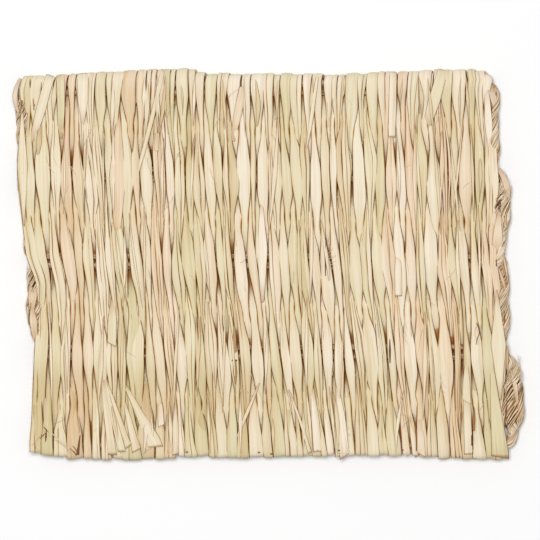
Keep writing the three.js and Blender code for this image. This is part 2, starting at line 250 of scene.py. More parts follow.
def rope_line():
    """The rope's stations: x, y, z, radius and distance gone. They stand closer in the turns than
    in the rows, which are the gaps between the turns' lines.
    """
    ends = [(ROPE_START_X, ROPE_RUNS[0]), (ROPE_END_X, ROPE_RUNS[-1])]
    start, end = (np.array([[x, lane_y(run), MIDDLE_Z, 0, ROPE_RADIUS]]) for x, run in ends)
    turns = [turn_line(number) for number in range(len(ROPE_TURNS))]
    whole = np.vstack([start, *turns, end])
    length = np.linalg.norm(np.diff(whole[:, :3], axis=0), axis=1)
    gone = np.concatenate([[0], np.cumsum(length)])
    fine = np.where(length > SHORTEST_ROW, 1 / ROW_STEP, 1 / TURN_STEP)
    count = np.concatenate([[0], np.cumsum(length * fine)])
    at = np.interp(np.linspace(0, count[-1], int(count[-1])), count, gone)
    table = np.column_stack([np.interp(at, gone, column) for column in whole.T])
    radius = ROPE_RADIUS + table[:, 3] * (table[:, 4] - ROPE_RADIUS)
    return np.column_stack([table[:, :3], radius, at])


def twisted_grass():
    """Rope of twisted dried grass: coarse matt fibres half a millimetre thick, straw to grey-tan,
    with painted dark brown shade in the grooves between its strands.
    """
    grains = [("fibres", 2.0, 0.04, 3.0), ("patches", 0.3, 0.05, 2.0), ("dashes", 1.1, 0.13, 1.0)]
    material, _ = grass_material("twisted_grass", ["groove"], grains, [
        ("fibres", 1, [(0.34, "#94754c"), (0.42, "#d6bf99"), (0.52, "#f0e2ca"), (0.66, "#f8eedd")]),
        ("patches", 0.7, [(0.35, "#e4cfb4"), (0.5, "#ffffff"), (0.65, "#fbf0e6")]),
        ("dashes", 0.75, [(0.31, "#5b3d1c"), (0.37, "#c6a678"), (0.42, "#ffffff")]),
        ("groove", 1, [(0.2, "#ffffff"), (0.5, "#cfae80"), (0.8, "#8a6236"), (1, "#4f3014")]),
    ], ("fibres", 0.8, 0.0004))
    shader = material.node_tree.nodes["Principled BSDF"]
    shader.inputs["Roughness"].default_value = 0.8
    shader.inputs["Specular IOR Level"].default_value = 0.25
    return material


# The rope's section, in a frame that turns with the twist: two lobes, and twenty-one strands of
# uneven width and height whose tops are arcs. In places the strands lie smooth side by side, and
# in others they are loose with deep grooves. The thickest turn is pressed flatter.
stations = rope_line()
rope_at, rope_radius, rope_gone = stations[:, :3], stations[:, 3:4], stations[:, 4:5]
rope_along = unit(np.gradient(rope_at, axis=0))
rope_across = unit(np.cross([0.0, 0.0, 1.0], rope_along))
rope_over = np.cross(rope_along, rope_across)
angle = np.linspace(0, 2 * np.pi, ROPE_POINTS_AROUND, endpoint=False)[None, :]
twist_step = np.gradient(rope_gone[:, 0]) * 2 * np.pi / (TWIST_PER_RADIUS * rope_radius[:, 0])
turned_angle = angle + np.cumsum(twist_step)[:, None]
uneven = angle + 0.16 * np.sin(2 * angle + 0.05 * rope_gone)
uneven = uneven + 0.1 * np.sin(3 * angle - 0.11 * rope_gone)
strand = np.abs(np.cos(STRANDS / 2 * uneven))
loose_here = np.sin(angle + 0.17 * rope_gone + 1) * np.sin(0.23 * rope_gone + 2 * angle)
loose_here = 0.5 + 0.5 * loose_here
in_turns = smoothstep(2.3, 3.0, rope_radius)
strand_height = 0.09 + 0.05 * np.sin(4 * uneven + 0.07 * rope_gone)
strand_height = strand_height * (0.3 + 1.4 * loose_here) * (0.7 + 0.3 * in_turns)
pressed = smoothstep(4.0, 4.8, rope_radius)
lobe = (0.07 + 0.08 * in_turns - 0.09 * pressed) * np.cos(2 * angle + 0.6)
lobe = lobe + 0.03 * np.sin(angle + 0.17 * rope_gone)
swelling = 1 + 0.05 * np.sin(0.31 * rope_gone)
reach = rope_radius * swelling * (0.92 + lobe + strand_height * strand**0.7)
rope_points = (
    rope_at[:, None]
    + ((1.08 + 0.14 * pressed) * reach * np.cos(turned_angle))[..., None] * rope_across[:, None]
    + ((0.94 - 0.06 * pressed) * reach * np.sin(turned_angle))[..., None] * rope_over[:, None]
)
rope_points[..., 2] = np.maximum(rope_points[..., 2], 0.1)
# Painted shade: how dark the grooves between the strands and the dents between the lobes are.
# The rope is darker between the stalks, where they shade it, than in its turns, and its pressed
# turn is darker too.
groove = 1.3 * (1 - strand) ** 2.2 * strand_height / 0.14 + 0.4 * np.clip(-lobe / 0.16, 0, 1) ** 2
groove = groove + 0.3 * (np.abs(rope_at[:, :1]) < INSIDE_X) + 0.2 * pressed
rope = strip_object("twisted_rope", [(
    rope_points[None], ((angle * rope_radius)[None], rope_gone[None]), {"groove": groove[None]},
)], twisted_grass())
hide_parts("grass_rope")
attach(rope, "root")


# The folded stalks. Forty-four blades of dried grass, pressed flat, lie side by side. Each is
# folded in half over the top rope row, and its two legs are woven over and under the five rows,
# so that one leg is on top wherever the next one is underneath. Many have split lengthwise.
COLUMNS = 86
STALKS = 44  # two columns each, and the last one is narrow
WEAVE_HEIGHT = 3.6
BLADE_TOP = 0.55
FOLD_STATIONS = 14
LEG_STATIONS = 104
# Below the last row the legs sink by END_DROP over END_LENGTH, and their ends are cut at a slant.
END_DROP = 1.5
END_LENGTH = 6
SLANT_LENGTH = 4
OPEN_THICKNESS = 0.5
SQUEEZED_THICKNESS = 1.2
INNER_THICKNESS = 0.4
INNER_SINK = 0.75

# The course of the stalks at the two sides of the mat, and the edges to which the outer stalks
# fan out, as y and x.
LEFT_COURSE = np.array([
    (-110, -131), (-70, -130.2), (-30, -130.8), (8, -133.4), (60, -136), (110, -138),
])
RIGHT_COURSE = np.array([(-110, 134.5), (-50, 131), (8, 127.2), (60, 125.5), (110, 124)])
LEFT_EDGE = np.array([
    (-109, -134.4), (-100, -134.7), (-89.4, -134), (-67.4, -133.3), (-49.4, -132.6),
    (-44.4, -132.2), (-37.4, -131.6), (-24.4, -130.9), (-11.4, -131), (-5.4, -132.7),
    (0.6, -135.2), (5.6, -136.8), (20.6, -138.9), (40.6, -141), (54.6, -142),
    (61, -142), (66, -141.6), (80.6, -140.4), (92.6, -140.2), (98.6, -140.8),
    (104, -139.6), (110, -137),
])
RIGHT_EDGE = np.array([
    (-110, 136), (-105.1, 135.8), (-94.9, 133.4), (-83, 134), (-75.1, 134.2),
    (-64.9, 134), (-51.9, 134.2), (-40.1, 134.2), (-24.8, 133), (-13.4, 131.8),
    (1.7, 129.2), (10, 129.4), (18.6, 128.6), (35.1, 129.8), (44.6, 130.2), (57.6, 129.6),
    (66.1, 129.5), (79.6, 127.6), (91.6, 126.2), (100, 125.6), (104.8, 126.8), (110, 124.5),
])
# The edges at the fold and the cut, as the share of the way across and y.
FOLDED_EDGE = np.array([
    (0, 106.4), (0.09, 107.6), (0.17, 109.3), (0.34, 111.2), (0.38, 108.6), (0.66, 107.8),
    (0.8, 109.2), (0.96, 111.2), (1, 106.5),
])
CUT_EDGE = np.array([
    (0, -105.6), (0.06, -108.4), (0.12, -109.6), (0.25, -109.2), (0.31, -107.4), (0.4, -108.6),
    (0.6, -107.4), (0.78, -107.6), (0.88, -109.6), (1, -110),
])

# Legs that are wider than the others, by their column.
WIDE_LEGS = {3: 1.35, 17: 1.55, 38: 1.3, 61: 1.25, 74: 1.3}

# The weave's unevenness, as slanted zigzags: length across and down the mat, size and phase.
UNEVENNESS = [
    (9.3, 97.0, 0.16, 0.3), (13.7, -131.0, 0.3, 2.1), (22.0, 150.0, 0.42, 4.0),
    (37.0, -110.0, 0.5, 1.2), (61.0, 170.0, 0.6, 5.2),
]
ZIGZAG = 0.97  # their corners, which would be sharp at 1
LOW_LEAN = 5.0
LEAN_START_Y = 20
LEAN_HEIGHT = 130


def read_table(table, place):
    """A table's second column at places in its first, by straight lines between its rows."""
    return np.interp(place, table[:, 0], table[:, 1])


def column_shares():
    """The share of the way across at which each column stands: the running sum of widths that are
    1 plus two sine waves, wider for the legs in WIDE_LEGS.
    """
    column = np.arange(COLUMNS)
    widths = 1 + 0.22 * (np.sin(2.3 * column + 0.7) + 0.8 * np.sin(5.1 * column + 2))
    for leg, factor in WIDE_LEGS.items():
        widths[leg - 1] *= factor
        widths[leg] *= factor
    return np.concatenate([[0], np.cumsum(widths) / widths.sum()])


def share_at(column):
    """The share of the way across of a column, which can be a fraction."""
    return np.interp(column, np.arange(COLUMNS + 1), shares)


def across_at(share, y):
    """The x of a share of the mat's width at height y, between the courses of its sides. It is
    moved by the zigzags of the weave's unevenness, which fade over 16 mm to the sides, and by a
    lean to the right that grows with the power 1.5 of the way down. The outer stalks fan out to
    the edges: the difference fades with the distance, by half in 10 mm.
    """
    left, right = read_table(LEFT_COURSE, y), read_table(RIGHT_COURSE, y)
    left_fan, right_fan = read_table(LEFT_EDGE, y) - left, read_table(RIGHT_EDGE, y) - right
    x = left + share * (right - left)
    near_side = smoothstep(0, 16, np.minimum(x - left, right - x))
    way_down = np.clip((LEAN_START_Y - y) / LEAN_HEIGHT, 0, 1)
    moved = x + LOW_LEAN * way_down**1.5 * np.sin(np.pi * share) ** 0.7
    for across, down, size, phase in UNEVENNESS:
        wave = np.sin(2 * np.pi * (x / across + y / down) + phase)
        moved = moved + size * near_side * np.arcsin(ZIGZAG * wave) / np.arcsin(ZIGZAG)
    return moved + left_fan * 0.5 ** ((x - left) / 10) + right_fan * 0.5 ** ((right - x) / 10)


def waves(dice, along, lengths, sizes):
    """Smooth noise for each strip: a sum of sines of the given wave lengths and sizes, each with
    its own random phase, along rows of distances [strip, station].
    """
    total = np.zeros_like(along)
    for length, size in zip(lengths, sizes):
        phase = dice.uniform(0, 2 * np.pi, (len(along), 1))
        total += size * np.sin(2 * np.pi * along / length + phase)
    return total


def bends(dice, along, spacing, size):
    """Straight stretches with soft corners: random offsets of a normal spread at knots that are
    spacing apart, joined by lines and smoothed over 5 mm.
    """
    knots = int(along.max() / spacing) + 3
    offsets = dice.normal(0, size, (len(along), knots))
    row = np.arange(len(along))[:, None]
    total = np.zeros_like(along)
    for shift in (-2.5, 0, 2.5):
        place = np.clip((along + shift) / spacing, 0, knots - 1.001)
        first = place.astype(int)
        part = place - first
        total += ((1 - part) * offsets[row, first] + part * offsets[row, first + 1]) / 3
    return total


# The section of a flattened stalk: its places from edge to edge, on the face and then back.
FACE_PLACES = np.array([-1, -0.9, -0.66, -0.33, 0, 0.33, 0.66, 0.9])
SECTION_PLACES = np.concatenate([FACE_PLACES, -FACE_PLACES])
SECTION_SIDE = np.repeat([1.0, -1.0], len(FACE_PLACES))


def swept_strips(path, half_width, thickness, cup, roll, crease, crease_at, level=False):
    """Points [strip, station, around, xyz] of flat strips along paths, and how far each point's
    face looks up. The section is two faces, 0.2 mm apart at the edges and further by thickness
    times (1 - place cubed), bent by cup times place squared, with a gaussian groove of depth
    crease at crease_at, and turned by roll about the path. It lies along x, or level where that
    is asked for.
    """
    along = unit(np.gradient(path, axis=1))
    sideways = np.zeros_like(path)
    sideways[..., 0] = 1
    if level:
        sideways = np.cross(along, [0.0, 0.0, 1.0])
    sideways = unit(sideways - along * (sideways * along).sum(axis=-1, keepdims=True))
    outward = np.cross(sideways, along)
    turn = roll[..., None]
    across = np.cos(turn) * sideways + np.sin(turn) * outward
    normal = np.cos(turn) * outward - np.sin(turn) * sideways
    place = SECTION_PLACES[None, None, :]
    bulge = 0.1 + 0.5 * thickness[..., None] * (1 - np.abs(place) ** 3)
    groove = crease[..., None] * np.exp(-(((place - crease_at[..., None]) / 0.2) ** 2))
    height = SECTION_SIDE * bulge - groove - cup[..., None] * place**2
    width = half_width[..., None] * place
    points = path[:, :, None, :] + width[..., None] * across[:, :, None, :]
    points = points + height[..., None] * normal[:, :, None, :]
    return points, SECTION_SIDE * normal[:, :, None, 2]


def dried_grass():
    """Dried grass blades, pressed flat: cream to straw, with fine veins along them, a thin brown
    edge that also holds painted shade between the blades, and painted brown shade where they lie
    deep in the weave.
    """
    # Veins half a millimetre wide, streaks of 2 mm and stains of 5 mm, all drawn out lengthwise.
    grains = [("veins", 2.2, 0.02, 2.0), ("streaks", 0.6, 0.014, 2.0), ("stains", 0.2, 0.012, 3.0)]
    attributes = ("tone", "tint", "edge", "buried")
    material, read = grass_material("dried_grass", attributes, grains, [
        ("tone", 1, [
            (0, "#d6c39c"), (0.25, "#e2d3b3"), (0.5, "#e9ddc3"), (0.75, "#eee2cd"), (1, "#f1e6d5")]),
        ("tint", 0.6, [
            (0, "#f4dcca"), (0.3, "#faeee3"), (0.5, "#ffffff"), (0.72, "#f4f5e2"), (1, "#e0e5c4")]),
        ("streaks", 0.34, [(0.32, "#e6d6b4"), (0.5, "#faf6ec"), (0.62, "#ffffff")]),
        ("veins", 0.24, [(0.33, "#d9c69c"), (0.5, "#ffffff")]),
        ("stains", 0.35, [(0.3, "#e8cfa0"), (0.42, "#ffffff"), (0.66, "#ffffff"), (0.78, "#eeedd4")]),
        # A brown edge, with painted shade in the gaps between the blades.
        ("edge", 1, [(0, "#ffffff"), (0.35, "#e6c894"), (0.7, "#b17a38"), (1, "#4c2908")]),
        # Painted shade: faces that lie deep in the weave turn brown.
        ("buried", 1, [(0, "#ffffff"), (0.5, "#b98644"), (1, "#472506")]),
    ], ("veins", 0.5, 0.00012))
    tree = material.node_tree
    shader = tree.nodes["Principled BSDF"]
    rough = add_node(tree, "ShaderNodeMapRange", {3: 0.5, 4: 0.75}, {0: read["streaks"]})
    tree.links.new(rough.outputs[0], shader.inputs["Roughness"])
    shader.inputs["Specular IOR Level"].default_value = 0.3
    return material


def edge_brown_and_shade(dice, along, half_width, rim):
    """How close each point is to its strip's edge: 1 at the edge, falling to 0 at a rim's width
    of it in millimetres. The rim comes and goes along each edge in uneven waves, and the two
    take up a third of a narrow strip at most. The band is a brown edge together with painted
    shade in the gaps between the blades.
    """
    rims = [rim * (1 + waves(dice, along, (47, 19), (0.35, 0.3))) for _ in range(2)]
    rims = np.where(SECTION_PLACES < 0, rims[0][..., None], rims[1][..., None])
    from_edge = (1 - np.abs(SECTION_PLACES)) * half_width[..., None]
    return 1 - from_edge / np.clip(rims, 0.08, 0.35 * half_width[..., None] + 0.05)


def slant_ends(points, along, slopes):
    """Cuts strips off at a slant, by one slope at the end and a second one at the start: close to
    it, each point moves along y by the slope times its distance from the strip's middle.
    """
    whole = along[:, -1:]
    aside = points[..., 0] - points[..., 0].mean(axis=-1, keepdims=True)
    moved = points.copy()
    for slope, gone in zip(slopes, (along, whole - along)):
        near = 1 - smoothstep(0, SLANT_LENGTH, whole - gone)
        moved[..., 1] += (slope * near)[..., None] * aside
    return moved


def cut_y(share, column):
    """Where a leg is cut off: the cut edge's table with an uneven sine of its column."""
    return read_table(CUT_EDGE, share) + 0.9 * np.sin(2.2 * column + 1) * np.sin(0.9 * column)


def past_last_row(y):
    """How far a place is below the last row: 0 at the row, and 1 where the legs have sunk."""
    return np.clip((LAST_ROW_Y - y) / END_LENGTH, 0, 1)


def tone_along_mat(y):
    """How the grass's tone changes along the mat: it is cream at the fold, and turns to straw
    from 45 to 65 mm below the middle.
    """
    return 0.22 * smoothstep(98, 106, y) - 0.25 * smoothstep(45, 65, -y)


def shade(points, facing, y, low, high):
    """How much painted shade browns a blade's face. It lies out by its height over the middle of the
    weave if it looks up, and by its depth below it if it looks down. The painted shade is 0.76
    where it lies out by less than low, 0 above high, and a third of that at the open cut ends.
    """
    out = (points[..., 2] - MIDDLE_Z) * np.sign(facing)
    open_end = 0.3 + 0.7 * smoothstep(-108, -88, y)
    return 0.76 * (1 - smoothstep(low, high, out)) * open_end[..., None]


def grain_map(half_width, along, aside, onward):
    """Each strip's map in millimetres, moved aside and onward so that their grains differ."""
    across = half_width[..., None] * SECTION_PLACES + np.reshape(aside, (-1, 1, 1))
    return across, along[..., None] + np.reshape(onward, (-1, 1, 1))


def area_and_length(path, half_width):
    """Each blade's area, as its width times its length summed along it, and its length."""
    step = np.linalg.norm(np.diff(path, axis=1), axis=2)
    return (2 * half_width[:, 1:] * step).sum(axis=1), step.sum(axis=1)


dice = np.random.default_rng(41)
shares = column_shares()

# Which stalks are split, and into which parts of their width.
SPLIT_IN_TWO = (0, 2, 5, 8, 13, 15, 18, 22, 25, 31, 33, 36, 42)
SPLIT_IN_THREE = (6, 11, 29, 38)


def parts_of(stalk):
    """The widths of a stalk's parts, as shares of its own."""
    if stalk in SPLIT_IN_THREE:
        return (0.4, 0.35, 0.25)
    if stalk in SPLIT_IN_TWO:
        return (0.6, 0.4) if stalk % 2 else (0.35, 0.65)
    return (1.0,)


strips = np.array([
    (stalk, part, before + part / 2)
    for stalk in range(STALKS)
    for part, before in zip(parts_of(stalk), np.cumsum((0.0, *parts_of(stalk))))
])
stalk_of = strips[:, 0].astype(int)
part = strips[:, 1:2]
place_in_stalk = strips[:, 2:3] * 2 - 1
split = part < 1
count = len(strips)
at_right = stalk_of == STALKS - 1
outermost = (stalk_of == 0) | at_right

# Stations: up the front leg, round the fold and down the back leg.
leg = np.linspace(0, 1, LEG_STATIONS)
fold = np.linspace(0, np.pi, FOLD_STATIONS + 2)[1:-1]
front_column = np.clip(2.0 * stalk_of, 0.75, COLUMNS - 0.6)[:, None]
back_column = np.minimum(2.0 * stalk_of + 1, COLUMNS - 0.4)[:, None]
front_share, back_share = share_at(front_column), share_at(back_column)
fold_reach = read_table(FOLDED_EDGE, front_share) - FIRST_ROW_Y
fold_reach = fold_reach + dice.uniform(-0.7, 0.4, (STALKS, 1))[stalk_of]
front_end = cut_y(front_share, front_column)
back_end = cut_y(back_share, back_column) + 0.8
path_y = np.concatenate([
    front_end + leg * (FIRST_ROW_Y - front_end),
    FIRST_ROW_Y + fold_reach * np.sin(fold),
    FIRST_ROW_Y + leg * (back_end - FIRST_ROW_Y),
], axis=1)
side = np.concatenate([np.ones(LEG_STATIONS), np.cos(fold), -np.ones(LEG_STATIONS)])
side = np.tile(side, (count, 1))
in_fold = slice(LEG_STATIONS, LEG_STATIONS + FOLD_STATIONS)
along = np.cumsum(np.hypot(
    np.gradient(path_y, axis=1), np.gradient(side * WEAVE_HEIGHT, axis=1)), axis=1)
stalk_along = np.tile(along[0], (STALKS, 1))

# A leg is over a row, under the next one, and crosses between them, a little early or late.
early = bends(dice, stalk_along, ROW_SPACING, 3.6)[stalk_of]
early = early * smoothstep(0, 12, FIRST_ROW_Y - path_y)
rows_down = (FIRST_ROW_Y - path_y - early) / ROW_SPACING
over = np.cos(np.pi * rows_down)
over[:, in_fold] = 1
low_end = past_last_row(path_y)
swing = over * np.abs(over) ** 0.9
path_z = MIDDLE_Z + side * (WEAVE_HEIGHT * swing - END_DROP * low_end**2)

station = np.arange(path_y.shape[1])
turned = smoothstep(LEG_STATIONS - 6, LEG_STATIONS + FOLD_STATIONS + 6, station)[None, :]
column = front_column + turned * (back_column - front_column)
room = np.minimum(np.minimum(column, COLUMNS - column), 1)

# Where it crosses its neighbours, a leg is squeezed to one column and meets them edge to edge.
# Over a row it is two columns wide, a little more or less, and hides the tips of the legs below.
from_crossing = np.abs(np.arcsin(np.clip(over, -1, 1))) * ROW_SPACING / np.pi
back_leg = ROWS * (station >= LEG_STATIONS + FOLD_STATIONS // 2)
row_number = np.clip(np.round(rows_down), 0, ROWS - 1).astype(int)
row_number = row_number + np.where(row_number > 0, back_leg, 0)
crossing_number = np.clip(np.floor(rows_down), 0, ROWS - 1).astype(int) + back_leg


def reach_to_side(dice):
    """How far a leg reaches to one side, in columns, and how far it has opened. It is half a
    column up to 1 mm from a crossing, and opens evenly over a taper of 10 to 24 mm to its full
    reach, which is about one. Both differ from row to row.
    """
    taper = dice.uniform(10, 24, (STALKS, 2 * ROWS))[stalk_of[:, None], crossing_number]
    full = dice.normal(0.99, 0.12, (STALKS, 2 * ROWS)) - 0.06 * (np.arange(2 * ROWS) == 0)
    full = full[stalk_of[:, None], row_number]
    opened = np.clip((np.sqrt(from_crossing**2 + 4) - 2) / taper, 0, 1)
    return 0.51 + (full - 0.51) * opened, opened


left_reach, left_opened = reach_to_side(dice)
right_reach, right_opened = reach_to_side(dice)
opened = (left_opened + right_opened) / 2
# The outermost stalks keep to the mat's edges.
left_reach[stalk_of == 0] = 1
right_reach[at_right] = 1
left_x = across_at(share_at(column - room * left_reach), path_y)
right_x = across_at(share_at(column + room * right_reach), path_y)
own_width = right_x - left_x
half = 0.5 * own_width * (1 + dice.uniform(0.02, 0.16, (count, 1)) * low_end)
stalk_x = (left_x + right_x) / 2 + bends(dice, stalk_along, ROW_SPACING, 0.1)[stalk_of]
strip_stray = bends(dice, along, 44, 0.35) * split * opened
path_x = stalk_x + strip_stray + half * place_in_stalk
half = half * part * (1 + 0.15 * split)
path_z = path_z + bends(dice, along, 30, 0.16) * (1 + split) * side
path = np.stack([path_x, path_y, path_z], axis=-1)

thickness = OPEN_THICKNESS * dice.uniform(0.8, 1.4, (count, 1))
thickness = thickness + SQUEEZED_THICKNESS * (1 - opened) ** 1.2 * part
cup = 0.09 * half * over + 0.03 * half
crossing = 1 - np.abs(over)
roll = bends(dice, along, ROW_SPACING, 0.05)
roll = roll + crossing * bends(dice, along, 2 * ROW_SPACING, 0.16)
crease = np.maximum(waves(dice, along, (120, 66), (0.1, 0.06)), 0) * part
crease_at = dice.choice([-0.4, -0.3, 0.3, 0.45], (count, 1)) + 0 * half
points, facing = swept_strips(path, half, thickness, cup, roll, crease, crease_at)
points = slant_ends(points, along, dice.normal(0, 0.16, (2, count, 1)))

# Tone runs from straw to cream and tint from pink to green. Both differ from stalk to stalk. A
# blade is painted paler, as painted light, where it lies open and high over a row. The stalk at
# the right side is a pale one.
stalk_tone = np.clip(dice.normal(0.55, 0.17, (STALKS, 1)), 0.1, 0.95)[stalk_of]
stalk_tone[at_right] = 0.8
tone = stalk_tone + dice.uniform(-0.08, 0.08, (count, 1)) + bends(dice, along, ROW_SPACING, 0.13)
tone = tone + tone_along_mat(path_y) + 0.2 * opened - 0.07
tint = 0.5 + np.clip(dice.normal(0, 0.2, (STALKS, 1)), -0.45, 0.45)[stalk_of]
tint[at_right] = 0.45
tint = tint + bends(dice, along, ROW_SPACING, 0.1)
# The outermost stalks have a neighbour at one side only, and so less painted shade.
buried = shade(points, facing, path_y, -3.4, -1.2)
buried[outermost] *= 0.35
# The rim of brown edge and painted shade is wider where a blade is squeezed at a crossing, as shade
# in the groove, and narrower over the fold.
rim = 0.37 + 0.6 * (1 - opened) - 0.2 * smoothstep(97, 104, path_y)
edge = edge_brown_and_shade(dice, along, half, rim)
outer_set = (points, *grain_map(half, along, 40 * np.arange(count), 500 * stalk_of),
             tone, tint, edge, buried)
flat_area, strip_length = area_and_length(path, half)
stalk_length = float(strip_length.mean())


def inner_blades(dice):
    """The inner blades, in the form that rows_of takes, and their areas. Beneath each stalk's wide
    blade lies its inner one, with half as many stations. It is narrower, and painted darker and
    browner as shade, a little more near its ends. Away from the crossings it strays aside and shows
    in the gap beside the wide blade.
    """
    lead = np.searchsorted(stalk_of, np.arange(STALKS))
    x, y, face, height, gone, apart, width, shown_tone, shown_tint = (
        values[lead][:, ::2] for values in
        (stalk_x, path_y, side, swing, along, from_crossing, own_width, stalk_tone, tint))
    aside = dice.uniform(-0.5, 0.5, (STALKS, 1)) + bends(dice, gone, ROW_SPACING, 0.25)
    half = 0.5 * width * dice.uniform(0.5, 0.68, (STALKS, 1))
    x = x + np.clip(aside, -0.65, 0.65) * smoothstep(11, 20, apart) * 0.5 * width
    shorter = 0.989 + 0.004 * dice.normal(0, 1, (STALKS, 1))
    y = FIRST_ROW_Y + (y - FIRST_ROW_Y) * np.where(y > FIRST_ROW_Y, 0.8, 1) * shorter
    z = MIDDLE_Z + face * (WEAVE_HEIGHT - INNER_SINK) * height
    z = z - END_DROP * face * past_last_row(y) ** 2
    path = np.stack([x, y, z], axis=-1)
    flat = 0 * half
    points, facing = swept_strips(
        path, half, INNER_THICKNESS + flat, 0.06 * half * height,
        bends(dice, gone, ROW_SPACING, 0.06), flat, 0.3 + flat)
    points = slant_ends(points, gone, dice.normal(0, 0.3, (2, STALKS, 1)))
    # The inner blade's tone is lowered at random, as painted shade beneath the wide blade.
    shown_tone = shown_tone + dice.uniform(-0.3, 0.05, (STALKS, 1))
    shown_tone = shown_tone + waves(dice, gone, (95, 41), (0.08, 0.05)) + tone_along_mat(y)
    near_end = np.minimum(gone, gone[:, -1:] - gone)[..., None]
    inner_shade = shade(points, facing, y, -2.9, -0.9) + 0.1 * (1 - smoothstep(0.5, 5, near_end))
    blades = (
        points, *grain_map(half, gone, 21, 310 * np.arange(STALKS)), shown_tone, shown_tint,
        edge_brown_and_shade(dice, gone, half, 0.3), inner_shade)
    return blades, area_and_length(path, half)[0]


def rows_of(blades, rows):
    """Some rows of a set of blades, in the form that strip_object takes."""
    points, across, onward, tone, tint, edge, buried = (values[rows] for values in blades)
    return points, (across, onward), {
        "tone": tone[..., None], "tint": tint[..., None], "edge": edge, "buried": buried}


inner_set, inner_area = inner_blades(dice)
grass = dried_grass()
PIECES = {
    "stalks_far_left": (0, 9), "stalks_left": (9, 18), "stalks_middle": (18, 27),
    "stalks_right": (27, 36), "stalks_far_right": (36, 44),
}
for name, (first, last) in PIECES.items():
    own = (stalk_of >= first) & (stalk_of < last)
    inner = slice(first, last)
    piece = strip_object(name, [rows_of(outer_set, own), rows_of(inner_set, inner)], grass)
    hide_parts("woven_grass_panel")
    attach(piece, "root")
    length = stalk_length * 0.001


# The loose strips: split-off strips of the same grass, straws and cut ends that lie on the woven
# stalks. They are caught under a stalk at one end or both, or end in a cut.
# Name, start x and y, end x and y, bow to the side, width at the start, middle and end, depth
# at the start and end (0 on top, 1 tucked in), tone, tint, and 1 for an end that is cut.
LOOSE_STRIPS = [
    ("diagonal_left", -123.3, 107.3, -134.3, 69.5, 0, 5.1, 5.6, 3.4, 0, 1, 0.6, 0.5, 0),
    ("white_left", -104.9, 108.5, -104.8, 77, 0, 6.8, 5.8, 0.6, 0, 0.8, 0.85, 0.55, 0),
    ("green_left", -117.9, 107.6, -117.9, 71.8, 0.6, 4.5, 4.5, 2.8, 0, 1, 0.5, 0.78, 0),
    ("gold_left", -128.6, 83.1, -130.9, 56.6, 0, 1.7, 3.4, 0.3, 0.8, 0.8, 0.05, 0.4, 0),
    ("crossing_straw", -59.6, 110.6, -76.1, 47.5, 0.6, 2.3, 2.8, 1.7, 0, 0.8, 0.4, 0.5, 0),
    ("short_stub", -63.1, 74.6, -63.6, 64.5, 0, 2.8, 2.8, 2.8, 0.5, 0, 0.35, 0.45, 1),
    ("wide_pink", -85.1, 86.5, -85.7, 12.5, 0, 1.7, 9.6, 2.3, 1, 1, 0.7, 0.18, 0),
    ("pink_diagonal", -14.5, 100.6, -20.1, 70.1, 0, 4.5, 4.5, 2.8, 0.3, 1, 0.75, 0.25, 0),
    ("long_light", -3.7, 38.5, -3.7, -21.4, 0, 1.1, 6.2, 1.7, 1, 1, 0.95, 0.5, 0),
    ("steep_straw", 27.8, 108.1, 21.1, 63.9, 0, 1.7, 2.3, 1.1, 0, 1, 0.6, 0.55, 0),
    ("cut_light", 70.3, 109.3, 69.7, 72.4, 0, 4, 4.5, 4, 0, 0, 0.82, 0.5, 1),
    ("diagonal_right", 98.5, 110.4, 88.4, 75.2, 0, 5.6, 6.8, 4, 0, 1, 0.55, 0.62, 0),
    ("white_right", 123.4, 98.9, 125.6, 63.3, 0, 2.8, 4.5, 2.8, 0.6, 0.8, 0.95, 0.5, 0),
    ("cut_middle", 73.1, 11.9, 73.1, -17.5, 0, 2.3, 4, 4, 1, 0, 0.8, 0.5, 1),
    ("joint_left", -88.5, -17.5, -88.5, -45.1, 0, 2.3, 5.1, 5.1, 1, 0, 0.45, 0.62, 1),
    ("joint_right", 111.5, -53, 112.1, -77.2, 0, 1.1, 3.8, 5.3, 0.6, 0, 0.6, 0.66, 0),
    ("joint_below", 112.1, -74.5, 112.8, -107, 0, 4, 4.5, 4.8, 0.5, 0.2, 0.85, 0.6, 1),
    ("flared_low_1", -94.1, -61.5, -88.5, -107.3, 0, 1.7, 4, 5.1, 1, 0.2, 0.42, 0.5, 1),
    ("flared_low_2", -93.6, -61.5, -82.8, -105.6, 0, 1.7, 3.4, 4.5, 1, 0.1, 0.48, 0.52, 1),
    ("flared_low_3", -92.4, -63.8, -78.9, -102.8, 0, 1.1, 2.8, 3.7, 1, 0, 0.36, 0.45, 1),
    ("flared_strip", -82.3, -73.4, -74.4, -105, 0, 0.8, 3.4, 5.1, 1, 0.1, 0.44, 0.42, 1),
    ("flared_wide", -82.8, -64.4, -63.6, -102.8, 0, 1.1, 4.5, 9.6, 1, 0, 0.45, 0.46, 1),
    ("pale_stub", -61.4, -78.5, -60.8, -90.9, 0, 2.8, 3.4, 3.4, 0.3, 0, 0.85, 0.4, 1),
    ("low_fill", -52, -76, -52.6, -107.2, 0, 0.8, 3.4, 3.6, 1, 0.3, 0.66, 0.45, 1),
    ("low_straw", -5.4, -66.6, -17.3, -97.1, 0, 1.1, 2.1, 1.4, 0.6, 0.6, 0.7, 0.5, 0),
    ("low_straw_right", 11.5, -70.6, 23.4, -106.2, 0.6, 1.1, 1.7, 2.3, 0.8, 0.2, 0.6, 0.5, 1),
    ("white_low_left", 24.5, -68.3, 27.9, -105.6, 0, 1.7, 4.5, 5.1, 1, 0.2, 0.95, 0.5, 1),
    ("white_low_right", 38.6, -66.1, 43.2, -108.4, 0, 1.7, 5.1, 5.6, 1, 0.2, 0.93, 0.5, 1),
    ("curled_end", 85.5, -87.5, 86.1, -107.3, 0, 3.4, 4.5, 5.1, 0.6, 0.2, 0.8, 0.35, 1),
    ("green_flared", 125.1, -50.8, 131.3, -108.7, 0, 1.1, 5.6, 10.2, 1, 0.2, 0.42, 0.8, 1),
]
